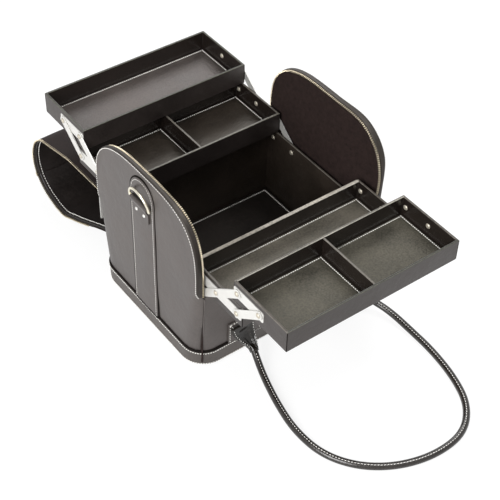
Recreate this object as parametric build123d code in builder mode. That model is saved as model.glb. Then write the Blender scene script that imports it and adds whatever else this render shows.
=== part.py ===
"""Leather vanity case with two pairs of fold-out trays on cantilever links, shown open.

Millimetres, Z up, the origin on the ground under the middle of the case.
The case is long along X, its front (handle) faces -Y and its cover hinges at the back, +Y.
"""
from build123d import *
import math
import os

os.makedirs("parts", exist_ok=True)

# Trays: outer sizes, walls and the gaps between folded trays
tray_length = 250.0
tray_width = 96.5
tray_height = 30.5
tray_wall = 3.0
tray_floor = 2.5
tray_corner = 1.5
tray_gap = 2.0
stack_gap = 1.0
pad_thickness = 1.2
pad_margin = 0.4
divider_thickness = 3.0
divider_drop = 2.0

# Cantilever links, rails and rivets
pivot_edge = 8.5
pivot_above_floor = 17.25
link_width = 11.0
link_thickness = 1.2
link_corner = 3.0
rail_width = 15.0
rail_thickness = 0.8
rivet_radius = 1.6
rivet_play = 0.07
head_radius = 3.5
head_height = 1.1
side_play = 0.3
zip_play = 0.4

# Inner box
box_bottom = 17.0
box_rim = 130.0
box_wall = 3.0
box_floor = 3.0
box_pad = 2.0
box_tray_gap = 1.5
tray_room = 3.1

# Leather body, its upright corners rounder at the foot than at the top of the walls
foot_corner = 32.0
wall_corner = 10.0
leather = 1.6
lining = 0.8
wall_board = 3.0
end_core = 7.6
seam_setback = 10.75
base_height = 24.5
base_edge_radius = 4.0
base_board = 4.0
padding_corner = 8.0
wall_play = 0.6

# Arched ends: a straight side up to the spring line, then a superellipse
spring_height = 148.0
arch_rise = 97.0
arch_power = 3.0
arch_steps = 16

# Zips
tape_thickness = 0.8
tape_width = 5.0
teeth_width = 1.4
teeth_thickness = 2.0
teeth_reveal = 0.4
teeth_to_lining = 0.9

# Cover, opened over the back: its layers, and each turn of its outer surface as the
# distance behind the back wall and the height, with the radius of the turn
cover_gap = 0.3
cover_panel = 2.6
cover_lining = 0.8
cover_flap = 38.0
cover_ground = 0.3
cover_sag = (91.0, 120.5, 150.0)
cover_bend = (179.0, 103.0, 36.0)
cover_side = (205.0, 52.0, 40.0)
cover_heel = (181.0, 11.5, 45.0)
cover_rest = (143.0, cover_ground, 40.0)
cover_lift = (121.0, cover_ground, 40.0)
cover_free_edge = (5.0, 61.0)

# Straps and D-rings on the ends
strap_width = 50.0
strap_thickness = 1.8
strap_top = 234.0
ring_height = 201.0
ring_inner_width = 37.5
ring_wire = 1.75
ring_play = 0.1
ring_tilt = 10.0
tab_width = 34.0
tab_leather = 1.4
tab_drop = 22.0
tab_shoulder = 8.0
stud_radius = 2.4
stud_height = 1.0
stud_spacing = 16.0
stud_drop = 14.5

# Zip sliders and pulls at the back corners
slider_width = 6.6
slider_length = 11.0
slider_thickness = 2.0
slider_lift = 1.0
ear_thickness = 0.8
ear_spacing = 3.8
ear_reach = 3.4
ear_length = 4.0
pull_pin = 0.8
pull_pin_play = 0.08
pull_eye = 1.7
pull_length = 42.0
pull_width = 4.6
pull_thickness = 1.2
pull_neck = 2.6

# Front handle and its straps
handle_spacing = 140.0
handle_strap_top = 58.0
handle_diameter = 9.0
handle_end_width = 27.0
handle_end_thickness = 3.0
handle_end_plate = 8.0
handle_hinge_gap = 0.3

# Distances along X, from the middle of the case outwards
end_face = tray_length / 2
rail_face = end_face + rail_thickness
link_inner = rail_face + side_play
link_outer = link_inner + link_thickness
head_inner = link_outer + side_play
head_outer = head_inner + head_height
teeth_inner = head_outer + zip_play
teeth_outer = teeth_inner + teeth_width
lining_inner = teeth_inner + teeth_to_lining
core_inner = lining_inner + lining
core_outer = core_inner + end_core
body_half_length = core_outer + leather
seam_x = body_half_length - seam_setback
gusset_inner = teeth_outer + 1.0

# The swing of a tray: each stage moves one pivot pitch to each side of upright
pivot_pitch = (tray_width - 2 * pivot_edge) / 2
link_rise = tray_height + stack_gap
link_length = math.hypot(pivot_pitch, link_rise)
lean = math.degrees(math.atan2(pivot_pitch, link_rise))
swing = 2 * lean
folded_edge = tray_gap / 2
lower_edge = folded_edge + 2 * pivot_pitch
upper_edge = lower_edge + 2 * pivot_pitch
lower_floor = box_rim + box_tray_gap
upper_floor = lower_floor + link_rise
lower_pivot_z = lower_floor + pivot_above_floor
upper_pivot_z = upper_floor + pivot_above_floor
box_pivot_z = lower_pivot_z - link_rise

# Distances along Y: the folded trays set the depth of the box, and the box that of the body
box_half_depth = folded_edge + tray_width + tray_room + box_wall
wall_inner = box_half_depth
half_depth = wall_inner + lining + wall_board + leather
box_pivots = [lower_edge + pivot_edge - pivot_pitch, lower_edge + pivot_edge]
lower_pivots = [lower_edge + pivot_edge + pivot_pitch * count for count in range(3)]
upper_pivots = [upper_edge + pivot_edge + pivot_pitch * count for count in range(2)]

# The low front and back walls end just under the links that pass over them
link_slope = link_rise / pivot_pitch
link_under = (link_width / 2) * link_length / pivot_pitch
wall_top = box_pivot_z + (half_depth - leather - box_pivots[1]) * link_slope - link_under - wall_play
zip_bottom = wall_top + 0.5
board_foot = leather + base_board


def save(piece, name):
    """Label a finished piece and write it."""
    piece.part.label = name
    export_step(piece.part, f"parts/{name}.step")


def slab_plane(side, inner):
    """Plane across X whose +X extrusion of a thickness ends or starts at the given face."""
    return Plane.YZ.offset(inner if side > 0 else -inner)


def arch_line(inset, bottom):
    """Straight side, superellipse and straight side, inset from the body's outline."""
    half = half_depth - inset
    rise = arch_rise - inset
    points = []
    for step in range(arch_steps + 1):
        angle = math.pi * step / arch_steps
        across = math.copysign(abs(math.cos(angle)) ** (2 / arch_power), math.cos(angle))
        up = max(math.sin(angle), 0) ** (2 / arch_power)
        points.append((-half * across, spring_height + rise * up))
    Line((-half, bottom), points[0])
    Spline(*points, tangents=((0, 1), (0, -1)))
    Line(points[-1], (half, bottom))


def arch_face(inset, bottom):
    """Filled arch, added to the open sketch."""
    half = half_depth - inset
    with BuildLine() as outline:
        arch_line(inset, bottom)
        Line((half, bottom), (-half, bottom))
    make_face(outline.edges())


def arch_band(outer_inset, inner_inset, bottom):
    """Strip that follows the arch between two insets, added to the open sketch."""
    outer_half = half_depth - outer_inset
    inner_half = half_depth - inner_inset
    with BuildLine() as outline:
        arch_line(outer_inset, bottom)
        arch_line(inner_inset, bottom)
        Line((-outer_half, bottom), (-inner_half, bottom))
        Line((outer_half, bottom), (inner_half, bottom))
    make_face(outline.edges())


def body_block(inset, bottom, top, mode=Mode.ADD):
    """The leather body between two heights, inset by a wall."""
    sections = []
    for height in (bottom, top):
        corner = foot_corner + (wall_corner - foot_corner) * height / wall_top
        with BuildSketch(Plane.XY.offset(height)) as section:
            RectangleRounded(
                2 * (body_half_length - inset), 2 * (half_depth - inset), corner - inset
            )
        sections.append(section.sketch)
    loft(sections, ruled=True, mode=mode)


def body_shell(bottom, top):
    """The leather of the body between two heights."""
    body_block(0, bottom, top)
    body_block(leather, bottom - 1, top + 1, Mode.SUBTRACT)


def end_slabs(inner, thickness):
    """A layer of both arched ends: rounded below the walls' top, arched above it."""
    body_block(leather, board_foot, wall_top)
    with BuildSketch(Plane.XY.offset(board_foot)) as slabs:
        for side in (-1, 1):
            with Locations((side * (inner + thickness / 2), 0)):
                Rectangle(thickness, 2 * half_depth)
    extrude(slabs.sketch, amount=wall_top - board_foot, mode=Mode.INTERSECT)
    for side in (-1, 1):
        with BuildSketch(slab_plane(side, inner)) as arch:
            arch_face(leather + tape_thickness, wall_top)
        extrude(arch.sketch, amount=side * thickness)


def open_box(length, width, centre_y, bottom, height, wall, floor, corner):
    """Open-topped box with rounded upright corners."""
    with BuildSketch(Plane.XY.offset(bottom)) as block:
        with Locations((0, centre_y)):
            RectangleRounded(length, width, corner)
    extrude(block.sketch, amount=height)
    with BuildSketch(Plane.XY.offset(bottom + floor)) as hollow:
        with Locations((0, centre_y)):
            Rectangle(length - 2 * wall, width - 2 * wall)
    extrude(hollow.sketch, amount=height, mode=Mode.SUBTRACT)


def cross_holes(pivots, height):
    """Rivet holes through both end walls."""
    with BuildSketch(Plane.YZ.offset(-body_half_length)) as holes:
        with Locations(*[(pivot, height) for pivot in pivots]):
            Circle(rivet_radius + rivet_play)
    extrude(holes.sketch, amount=2 * body_half_length, mode=Mode.SUBTRACT)


def rivet(side, y, z, shoulder):
    """One rivet through an end wall, what lies on it and its link, heads on both sides."""
    inside = end_face - tray_wall
    bevel = head_radius * 0.65
    collar = [
        (end_face, rivet_radius),
        (end_face, shoulder),
        (rail_face, shoulder),
        (rail_face, rivet_radius),
    ]
    with BuildSketch(Plane(origin=(0, y, z), x_dir=(side, 0, 0), z_dir=(0, -1, 0))) as profile:
        with BuildLine():
            Polyline(
                (inside - head_height, 0),
                (inside - head_height, bevel),
                (inside, head_radius),
                (inside, rivet_radius),
                *(collar if shoulder > rivet_radius else []),
                (head_inner, rivet_radius),
                (head_inner, head_radius),
                (head_outer, bevel),
                (head_outer, 0),
                close=True,
            )
        make_face()
    revolve(profile.sketch, axis=Axis((0, y, z), (1, 0, 0)))


# Base: the leather pan round the foot of the case, with its board and padding
with BuildPart() as base_pan:
    body_block(-leather, 0, base_height)
    fillet(base_pan.faces().sort_by(Axis.Z)[0].edges(), base_edge_radius)
    body_block(0, leather, base_height + 1, Mode.SUBTRACT)
save(base_pan, "base_pan")

with BuildPart() as base_board_part:
    body_block(leather, leather, board_foot)
save(base_board_part, "base_board")

with BuildPart() as base_padding:
    with BuildSketch(Plane.XY.offset(board_foot)):
        RectangleRounded(2 * end_face, 2 * box_half_depth, padding_corner)
    extrude(amount=box_bottom - board_foot)
save(base_padding, "base_padding")

# Inner box that carries the links
with BuildPart() as inner_box:
    open_box(
        tray_length,
        2 * box_half_depth,
        0,
        box_bottom,
        box_rim - box_bottom,
        box_wall,
        box_floor,
        tray_corner,
    )
    cross_holes(box_pivots + [-pivot for pivot in box_pivots], box_pivot_z)
save(inner_box, "inner_box")

with BuildPart() as inner_box_pad:
    with BuildSketch(Plane.XY.offset(box_bottom + box_floor)):
        Rectangle(
            tray_length - 2 * box_wall - 2 * pad_margin,
            2 * box_half_depth - 2 * box_wall - 2 * pad_margin,
        )
    extrude(amount=box_pad)
save(inner_box_pad, "inner_box_pad")

with BuildPart() as box_rivets:
    for side in (-1, 1):
        for pivot in box_pivots:
            rivet(side, pivot, box_pivot_z, head_radius)
            rivet(side, -pivot, box_pivot_z, head_radius)
save(box_rivets, "box_rivets")

# Low front and back walls: leather between the corner seams, a board and a lining
for end, name in ((-1, "front"), (1, "back")):
    with BuildPart() as wall_leather:
        body_shell(leather, wall_top)
        with BuildSketch(Plane.XY.offset(leather)):
            with Locations((0, end * half_depth)):
                Rectangle(2 * seam_x, 2 * half_depth)
        extrude(amount=wall_top - leather, mode=Mode.INTERSECT)
    save(wall_leather, f"{name}_wall_leather")

with BuildPart() as wall_boards:
    body_block(leather, board_foot, wall_top)
    with BuildSketch(Plane.XY.offset(board_foot)):
        for end in (-1, 1):
            with Locations((0, end * (half_depth - leather - wall_board / 2))):
                Rectangle(2 * end_face, wall_board)
    extrude(amount=wall_top - board_foot, mode=Mode.INTERSECT)
save(wall_boards, "wall_boards")

with BuildPart() as wall_linings:
    body_block(leather, board_foot, wall_top)
    with BuildSketch(Plane.XY.offset(board_foot)):
        for end in (-1, 1):
            with Locations((0, end * (wall_inner + lining / 2))):
                Rectangle(2 * end_face, lining)
    extrude(amount=wall_top - board_foot, mode=Mode.INTERSECT)
save(wall_linings, "wall_linings")

# Arched ends: leather outside, a padded core and a lining inside
for side, name in ((-1, "left"), (1, "right")):
    with BuildPart() as end_panel:
        body_shell(leather, wall_top)
        with BuildSketch(Plane.XY.offset(leather)):
            with Locations((side * (seam_x + body_half_length), 0)):
                Rectangle(2 * body_half_length, 4 * half_depth)
        extrude(amount=wall_top - leather, mode=Mode.INTERSECT)
        with BuildSketch(slab_plane(side, core_outer)):
            arch_face(0, wall_top)
        extrude(amount=side * leather)
    save(end_panel, f"{name}_end_panel")

with BuildPart() as end_cores:
    end_slabs(core_inner, end_core)
save(end_cores, "end_cores")

with BuildPart() as end_linings:
    end_slabs(lining_inner, lining)
save(end_linings, "end_linings")

# Zips round the arches: the leather strip, the tape under it and its row of teeth
with BuildPart() as end_gussets:
    for side in (-1, 1):
        with BuildSketch(slab_plane(side, gusset_inner)):
            arch_band(0, leather, zip_bottom)
        extrude(amount=side * (core_outer - gusset_inner))
save(end_gussets, "end_gussets")

with BuildPart() as end_zip_tapes:
    for side in (-1, 1):
        with BuildSketch(slab_plane(side, teeth_outer)):
            arch_band(leather, leather + tape_thickness, zip_bottom)
        extrude(amount=side * tape_width)
save(end_zip_tapes, "end_zip_tapes")

with BuildPart() as end_zip_teeth:
    for side in (-1, 1):
        with BuildSketch(slab_plane(side, teeth_inner)):
            arch_band(teeth_reveal, teeth_reveal + teeth_thickness, zip_bottom)
        extrude(amount=side * teeth_width)
save(end_zip_teeth, "end_zip_teeth")


# Fold-out trays
def tray_set(name, way, edge, bottom, pivots, rooms):
    """Tray shell, floor pads, end rails and rivets of one tray; way is +1 back, -1 front."""
    centre_y = way * (edge + tray_width / 2)
    pivot_z = bottom + pivot_above_floor
    with BuildPart() as tray:
        open_box(
            tray_length, tray_width, centre_y, bottom, tray_height, tray_wall, tray_floor, tray_corner
        )
        cross_holes([way * pivot for pivot in pivots], pivot_z)
    save(tray, f"{name}_tray")

    room = (tray_length - 2 * tray_wall - (rooms - 1) * divider_thickness) / rooms
    with BuildPart() as pad:
        with BuildSketch(Plane.XY.offset(bottom + tray_floor)):
            for count in range(rooms):
                middle = (count - (rooms - 1) / 2) * (room + divider_thickness)
                with Locations((middle, centre_y)):
                    Rectangle(room - 2 * pad_margin, tray_width - 2 * tray_wall - 2 * pad_margin)
        extrude(amount=pad_thickness)
    save(pad, f"{name}_pad")

    rail_length = pivots[-1] - pivots[0] + rail_width
    rail_centre = way * (pivots[-1] + pivots[0]) / 2
    with BuildPart() as rails:
        for side in (-1, 1):
            with BuildSketch(slab_plane(side, end_face)):
                with Locations((rail_centre, pivot_z)):
                    RectangleRounded(rail_length, rail_width, link_corner)
                with Locations(*[(way * pivot, pivot_z) for pivot in pivots]):
                    Circle(rivet_radius + rivet_play, mode=Mode.SUBTRACT)
            extrude(amount=side * rail_thickness)
    save(rails, f"{name}_rails")

    with BuildPart() as rivets:
        for side in (-1, 1):
            for pivot in pivots:
                rivet(side, way * pivot, pivot_z, rivet_radius)
    save(rivets, f"{name}_rivets")


def tray_divider(name, way, edge, bottom):
    """Upright partition across the middle of a tray, standing on its floor."""
    foot = bottom + tray_floor
    with BuildPart() as divider:
        with BuildSketch(Plane.XY.offset(foot)):
            with Locations((0, way * (edge + tray_width / 2))):
                Rectangle(divider_thickness, tray_width - 2 * tray_wall)
        extrude(amount=bottom + tray_height - divider_drop - foot)
    save(divider, f"{name}_divider")


for way, name, rooms in ((1, "back", (2, 1)), (-1, "front", (1, 2))):
    tray_set(f"{name}_lower", way, lower_edge, lower_floor, lower_pivots, rooms[0])
    tray_set(f"{name}_upper", way, upper_edge, upper_floor, upper_pivots, rooms[1])
tray_divider("back_lower", 1, lower_edge, lower_floor)
tray_divider("front_upper", -1, upper_edge, upper_floor)


# Links
def link_plate(side, way, first, count):
    """One flat link from a pivot outwards, with a hole at each pivot it joins."""
    span = count - 1
    middle = (way * (first[0] + span * pivot_pitch / 2), first[1] + span * link_rise / 2)
    angle = way * math.degrees(math.atan2(link_rise, pivot_pitch))
    with BuildSketch(slab_plane(side, link_inner)) as plate:
        with Locations(middle):
            RectangleRounded(
                span * link_length + link_width, link_width, link_corner, rotation=angle
            )
        for step in range(count):
            with Locations((way * (first[0] + step * pivot_pitch), first[1] + step * link_rise)):
                Circle(rivet_radius + rivet_play, mode=Mode.SUBTRACT)
    extrude(plate.sketch, amount=side * link_thickness)


for way, name in ((1, "back"), (-1, "front")):
    for side, hand in ((-1, "left"), (1, "right")):
        with BuildPart() as long_link:
            link_plate(side, way, (box_pivots[1], box_pivot_z), 3)
        save(long_link, f"{name}_long_link_{hand}")
    with BuildPart() as lower_links:
        for side in (-1, 1):
            link_plate(side, way, (box_pivots[0], box_pivot_z), 2)
    save(lower_links, f"{name}_lower_links")
    with BuildPart() as upper_links:
        for side in (-1, 1):
            link_plate(side, way, (lower_pivots[2], lower_pivot_z), 2)
    save(upper_links, f"{name}_upper_links")

# Cover: a leather panel with a lining, hinged at the top of the back wall and laid open
cover_start = half_depth + cover_gap
cover_turns = [cover_sag, cover_bend, cover_side, cover_heel, cover_rest, cover_lift]
cover_route = [
    (cover_start, wall_top),
    *[(half_depth + behind, height) for behind, height, radius in cover_turns],
    (half_depth + cover_free_edge[0], cover_free_edge[1]),
]
cover_radii = [radius for behind, height, radius in cover_turns]
cover_half = teeth_inner - tape_width + 0.4
flap_share = cover_flap / math.dist(cover_route[-2], cover_route[-1])
zip_route = cover_route[:-1] + [
    tuple(
        cover_route[-1][axis] + (cover_route[-2][axis] - cover_route[-1][axis]) * flap_share
        for axis in range(2)
    )
]


def unit(start, end):
    """Direction from one point to another."""
    span = math.dist(start, end)
    return ((end[0] - start[0]) / span, (end[1] - start[1]) / span)


def inset_route(route, inset):
    """The same route moved sideways into the loop, with mitred corners."""
    moved = []
    for count, point in enumerate(route):
        before = unit(route[max(count - 1, 0)], route[max(count, 1)])
        after = unit(route[min(count, len(route) - 2)], route[min(count + 1, len(route) - 1)])
        side = (before[1] + after[1], -before[0] - after[0])
        scale = inset / (1 + before[0] * after[0] + before[1] * after[1])
        moved.append((point[0] + side[0] * scale, point[1] + side[1] * scale))
    return moved


def cover_strip(route, outer_inset, inner_inset):
    """Section of one layer of the cover, added to the open sketch."""
    with BuildLine() as outline:
        outer = FilletPolyline(
            *inset_route(route, outer_inset), radius=[radius - outer_inset for radius in cover_radii]
        )
        inner = FilletPolyline(
            *inset_route(route, inner_inset), radius=[radius - inner_inset for radius in cover_radii]
        )
        Line(outer @ 0, inner @ 0)
        Line(outer @ 1, inner @ 1)
    make_face(outline.edges())


with BuildPart() as cover_leather:
    with BuildSketch(Plane.YZ.offset(-cover_half)):
        cover_strip(cover_route, cover_lining, cover_lining + cover_panel)
    extrude(amount=2 * cover_half)
save(cover_leather, "cover_leather")

with BuildPart() as cover_lining_part:
    with BuildSketch(Plane.YZ.offset(-cover_half - tape_width / 2)):
        cover_strip(cover_route, 0, cover_lining)
    extrude(amount=2 * cover_half + tape_width)
save(cover_lining_part, "cover_lining")

with BuildPart() as cover_zip_tapes:
    for side in (-1, 1):
        with BuildSketch(slab_plane(side, cover_half)):
            cover_strip(zip_route, cover_lining, cover_lining + tape_thickness)
        extrude(amount=side * (teeth_inner - cover_half))
save(cover_zip_tapes, "cover_zip_tapes")

with BuildPart() as cover_zip_teeth:
    for side in (-1, 1):
        with BuildSketch(slab_plane(side, teeth_inner)):
            cover_strip(zip_route, 0.1, 0.1 + teeth_thickness)
        extrude(amount=side * teeth_width)
save(cover_zip_teeth, "cover_zip_teeth")

# Ring straps, tabs, studs and D-rings on both ends
strap_face = body_half_length + strap_thickness
tab_radius = ring_wire + ring_play + tab_leather
bar_x = strap_face + tab_radius
tab_face = strap_face + 2 * tab_leather

with BuildPart() as ring_straps:
    for side in (-1, 1):
        with BuildSketch(slab_plane(side, body_half_length)):
            with Locations((0, (base_height + strap_top - strap_width / 2) / 2)):
                Rectangle(strap_width, strap_top - strap_width / 2 - base_height)
            with Locations((0, strap_top - strap_width / 2)):
                Circle(strap_width / 2)
        extrude(amount=side * strap_thickness)
save(ring_straps, "ring_straps")

with BuildPart() as ring_tabs:
    for side in (-1, 1):
        with BuildSketch(Plane.XZ.offset(-tab_width / 2)):
            with Locations((side * bar_x, ring_height)):
                Circle(tab_radius)
            with Locations((side * (strap_face + tab_leather), ring_height - tab_shoulder)):
                Rectangle(2 * tab_leather, tab_leather)
            make_hull()
            with Locations((side * (strap_face + tab_leather), ring_height - (tab_drop + tab_shoulder) / 2)):
                Rectangle(2 * tab_leather, tab_drop - tab_shoulder)
            with Locations((side * bar_x, ring_height)):
                Circle(ring_wire + ring_play, mode=Mode.SUBTRACT)
        extrude(amount=tab_width)
save(ring_tabs, "ring_tabs")

with BuildPart() as ring_studs:
    for side in (-1, 1):
        with BuildSketch(slab_plane(side, tab_face)):
            for across in (-0.5, 0.5):
                with Locations((across * stud_spacing, ring_height - stud_drop)):
                    Circle(stud_radius)
        extrude(amount=side * stud_height, taper=30)
save(ring_studs, "ring_studs")

ring_radius = ring_inner_width / 2 + ring_wire
tilt = math.radians(ring_tilt)
ring_centre = (-bar_x, 0, ring_height)
with BuildPart() as left_ring:
    with BuildSketch(
        Plane(origin=ring_centre, x_dir=(0, 1, 0), z_dir=(-math.sin(tilt), 0, math.cos(tilt)))
    ):
        with Locations((ring_radius, 0)):
            Circle(ring_wire)
    revolve(axis=Axis(ring_centre, (math.cos(tilt), 0, math.sin(tilt))), revolution_arc=180)
    with Locations(ring_centre):
        Cylinder(ring_wire, 2 * ring_radius, rotation=(90, 0, 0))
    with Locations((-bar_x, ring_radius, ring_height), (-bar_x, -ring_radius, ring_height)):
        Sphere(ring_wire)
save(left_ring, "left_d_ring")

with BuildPart() as right_ring:
    mirror(left_ring.part, about=Plane.YZ)
save(right_ring, "right_d_ring")

# Zip sliders on the tape ends at the back corners, each with a pull that hangs from it
slider_inner = teeth_inner + 0.9
slider_middle = slider_inner + slider_width / 2
slider_foot = zip_bottom + slider_lift
slider_face = half_depth + slider_thickness
pin_y = slider_face + pull_eye + side_play
pin_z = slider_foot + ear_length * 0.75

with BuildPart() as zip_sliders:
    for side in (-1, 1):
        with Locations((side * slider_middle, half_depth + slider_thickness / 2, slider_foot + slider_length / 2)):
            Box(slider_width, slider_thickness, slider_length)
        for across in (-0.5, 0.5):
            ear_x = side * slider_middle + across * ear_spacing
            with Locations((ear_x, slider_face + ear_reach / 2, pin_z)):
                Box(ear_thickness, ear_reach, ear_length)
        with Locations((side * slider_middle, pin_y, pin_z)):
            Cylinder(pull_pin, ear_spacing, rotation=(0, 90, 0))
save(zip_sliders, "zip_sliders")

for side, name in ((-1, "left"), (1, "right")):
    neck_drop = ear_length
    with BuildPart() as pull:
        with BuildSketch(Plane.YZ.offset(side * slider_middle)):
            with Locations((pin_y, pin_z)):
                Circle(pull_eye)
            with Locations((pin_y, pin_z - neck_drop / 2)):
                Rectangle(pull_thickness, neck_drop)
            with Locations((pin_y, pin_z)):
                Circle(pull_pin + pull_pin_play, mode=Mode.SUBTRACT)
        extrude(amount=pull_neck / 2, both=True)
        with BuildSketch(Plane.XZ.offset(-pin_y)):
            with Locations((side * slider_middle, pin_z - (neck_drop + pull_length) / 2)):
                RectangleRounded(pull_width, pull_length - neck_drop, pull_width * 0.35)
        extrude(amount=pull_thickness / 2, both=True)
    save(pull, f"{name}_zip_pull")

# Front handle: two straps on the front wall, a flat end hinged at each and a rolled loop
front_face = -half_depth - strap_thickness
with BuildPart() as handle_straps:
    for side in (-0.5, 0.5):
        with BuildSketch(Plane.XZ.offset(half_depth)):
            with Locations((side * handle_spacing, (base_height + handle_strap_top) / 2)):
                Rectangle(strap_width, handle_strap_top - base_height)
        extrude(amount=strap_thickness)
save(handle_straps, "handle_straps")

hinge_y = front_face - handle_hinge_gap
handle_radius = handle_diameter / 2
plate_y = hinge_y - handle_end_thickness / 2
plate_foot = handle_strap_top - handle_end_plate
floor_line = handle_radius + 0.1
handle_route = [
    (-71.0, -131.0, 19.0),
    (-75.0, -148.0, 7.5),
    (-83.0, -174.0, floor_line),
    (-93.0, -211.0, floor_line),
    (-100.0, -252.0, floor_line),
    (-96.0, -297.0, floor_line),
    (-73.0, -335.0, floor_line),
    (-35.0, -362.0, floor_line),
    (12.0, -375.0, floor_line),
    (60.0, -371.0, floor_line),
    (93.0, -343.0, floor_line),
    (109.0, -302.0, floor_line),
    (117.0, -254.0, floor_line),
    (117.0, -213.0, 6.0),
    (114.5, -176.0, 10.0),
    (104.0, -149.0, 16.5),
    (86.0, -132.0, 30.0),
]


def arc_radii(route):
    """The largest arc that each corner's two runs allow."""
    radii = []
    for before, corner, after in zip(route, route[1:], route[2:]):
        arrive = Vector(*corner) - Vector(*before)
        leave = Vector(*after) - Vector(*corner)
        half_turn = math.radians(arrive.get_angle(leave)) / 2
        radii.append(0.45 * min(arrive.length, leave.length) / math.tan(half_turn))
    return radii


handle_radii = arc_radii(handle_route)
with BuildPart() as front_handle:
    with BuildLine() as handle_path:
        FilletPolyline(*handle_route, radius=handle_radii)
    with BuildSketch(Plane(origin=handle_path.line @ 0, z_dir=handle_path.line % 0)):
        Circle(handle_radius)
    sweep()
save(front_handle, "front_handle")

with BuildPart() as handle_ends:
    for side, route_end, along in ((-0.5, 0, -1), (0.5, 1, 1)):
        plate_x = side * handle_spacing
        with BuildSketch(Plane.XY.offset(handle_strap_top)):
            with Locations((plate_x, plate_y)):
                Rectangle(handle_end_width, handle_end_thickness)
        extrude(amount=-handle_end_plate)
        foot = Vector(plate_x, plate_y, plate_foot + 1.0)
        socket = handle_path.line @ route_end
        heading = (handle_path.line % route_end) * along
        middle = (foot + socket) * 0.5 - (heading - Vector(0, 0, 1)) * 3.0
        sections = (
            (foot, Vector(0, 0, 1), handle_end_width, handle_end_thickness),
            (middle, heading + Vector(0, 0, 1), handle_end_width * 0.6, handle_diameter * 0.7),
            (socket, heading, handle_diameter, handle_diameter),
        )
        for centre, facing, width, depth in sections:
            with BuildSketch(Plane(origin=centre, x_dir=(1, 0, 0), z_dir=facing)):
                RectangleRounded(width, depth, depth * 0.49)
        loft()
save(handle_ends, "handle_ends")

print("swing of each tray stage:", round(swing, 3), "degrees")
print("link ratio check, length:", round(link_length, 3))
print("long link pivot:", round(box_pivots[1], 3), round(box_pivot_z, 3))
print("wall top:", round(wall_top, 3), "body half length:", round(body_half_length, 3))
handle_length = front_handle.part.volume / (math.pi * handle_radius**2)
print("handle arc radii:", [round(radius, 1) for radius in handle_radii])
print("handle length:", round(handle_length, 1))
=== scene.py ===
"""Looks of the leather vanity case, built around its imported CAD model."""

import bpy
import bmesh
from math import acos, asin, copysign, cos, exp, pi, radians, sin, sqrt, tan
from mathutils import Matrix, Vector, noise


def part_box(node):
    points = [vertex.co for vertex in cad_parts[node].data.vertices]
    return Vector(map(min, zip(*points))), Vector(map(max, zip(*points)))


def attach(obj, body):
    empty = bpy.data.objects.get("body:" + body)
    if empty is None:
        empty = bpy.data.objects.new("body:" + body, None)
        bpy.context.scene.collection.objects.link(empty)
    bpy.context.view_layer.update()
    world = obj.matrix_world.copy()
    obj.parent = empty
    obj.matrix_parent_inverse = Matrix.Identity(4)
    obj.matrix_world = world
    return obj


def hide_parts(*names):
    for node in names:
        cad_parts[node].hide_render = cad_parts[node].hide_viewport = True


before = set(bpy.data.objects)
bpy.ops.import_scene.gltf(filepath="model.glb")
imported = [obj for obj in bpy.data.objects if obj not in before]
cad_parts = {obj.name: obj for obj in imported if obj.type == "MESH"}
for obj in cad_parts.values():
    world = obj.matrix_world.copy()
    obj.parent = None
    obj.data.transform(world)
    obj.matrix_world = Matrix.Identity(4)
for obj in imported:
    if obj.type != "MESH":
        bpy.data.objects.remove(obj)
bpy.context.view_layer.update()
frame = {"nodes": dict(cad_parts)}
nodes = frame["nodes"]

# Lengths in metres, shared with the CAD model
HALF_LENGTH = 0.140
HALF_DEPTH = 0.109
# Where the arch of the ends springs, how far it rises and the power of its curve
SPRING = 0.148
RISE = 0.097
POWER = 3.0
# Places along X of an end's seam, gusset strip, lining and zip teeth
SEAM_X = 0.12925
GUSSET_X = 0.1322
LINING_X = 0.1297
TEETH_X = 0.1291
# Heights of the walls' top, the foot of the zips and the top of the base band
WALL_TOP = 0.1242
ZIP_FOOT = 0.1247
BAND_TOP = 0.0245
BAND_OUT = 0.0016
# Corner radius of the body's plan at the ground, and how much less it is at the walls' top
FOOT_CORNER = 0.032
CORNER_LOSS = 0.022
STITCH_PITCH = 0.0038

# Camera and handle


def new_object(name, data):
    """New object in the scene."""
    piece = bpy.data.objects.new(name, data)
    bpy.context.collection.objects.link(piece)
    return piece


def mesh_object(name, verts, faces):
    """New mesh object from lists."""
    data = bpy.data.meshes.new(name)
    data.from_pydata([tuple(v) for v in verts], [], faces)
    return new_object(name, data)


camera = new_object("camera", bpy.data.cameras.new("camera"))
camera.data.lens = 90.85
camera.data.sensor_width = 36
camera.data.clip_end = 20
right = Vector((0.80386, -0.59437, 0.02313)).normalized()
ahead = Vector((0.44066, 0.56896, -0.69434)).normalized()
above = right.cross(ahead).normalized()
turn = Matrix((right, above, -ahead)).transposed().to_4x4()
camera.matrix_world = Matrix.Translation((-0.71105, -0.94383, 1.18530)) @ turn
bpy.context.scene.camera = camera

HANDLE_DIAMETER = 0.009
HANDLE_ROUTE = [
    (-0.0710, -0.1310, 0.0190), (-0.0750, -0.1480, 0.0075), (-0.0830, -0.1740, 0.0046),
    (-0.0930, -0.2110, 0.0046), (-0.1000, -0.2520, 0.0046), (-0.0960, -0.2970, 0.0046),
    (-0.0730, -0.3350, 0.0046), (-0.0350, -0.3620, 0.0046), (0.0120, -0.3750, 0.0046),
    (0.0600, -0.3710, 0.0046), (0.0930, -0.3430, 0.0046), (0.1090, -0.3020, 0.0046),
    (0.1170, -0.2540, 0.0046), (0.1170, -0.2130, 0.0060), (0.1145, -0.1760, 0.0100),
    (0.1040, -0.1490, 0.0165), (0.0860, -0.1320, 0.0300),
]


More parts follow.
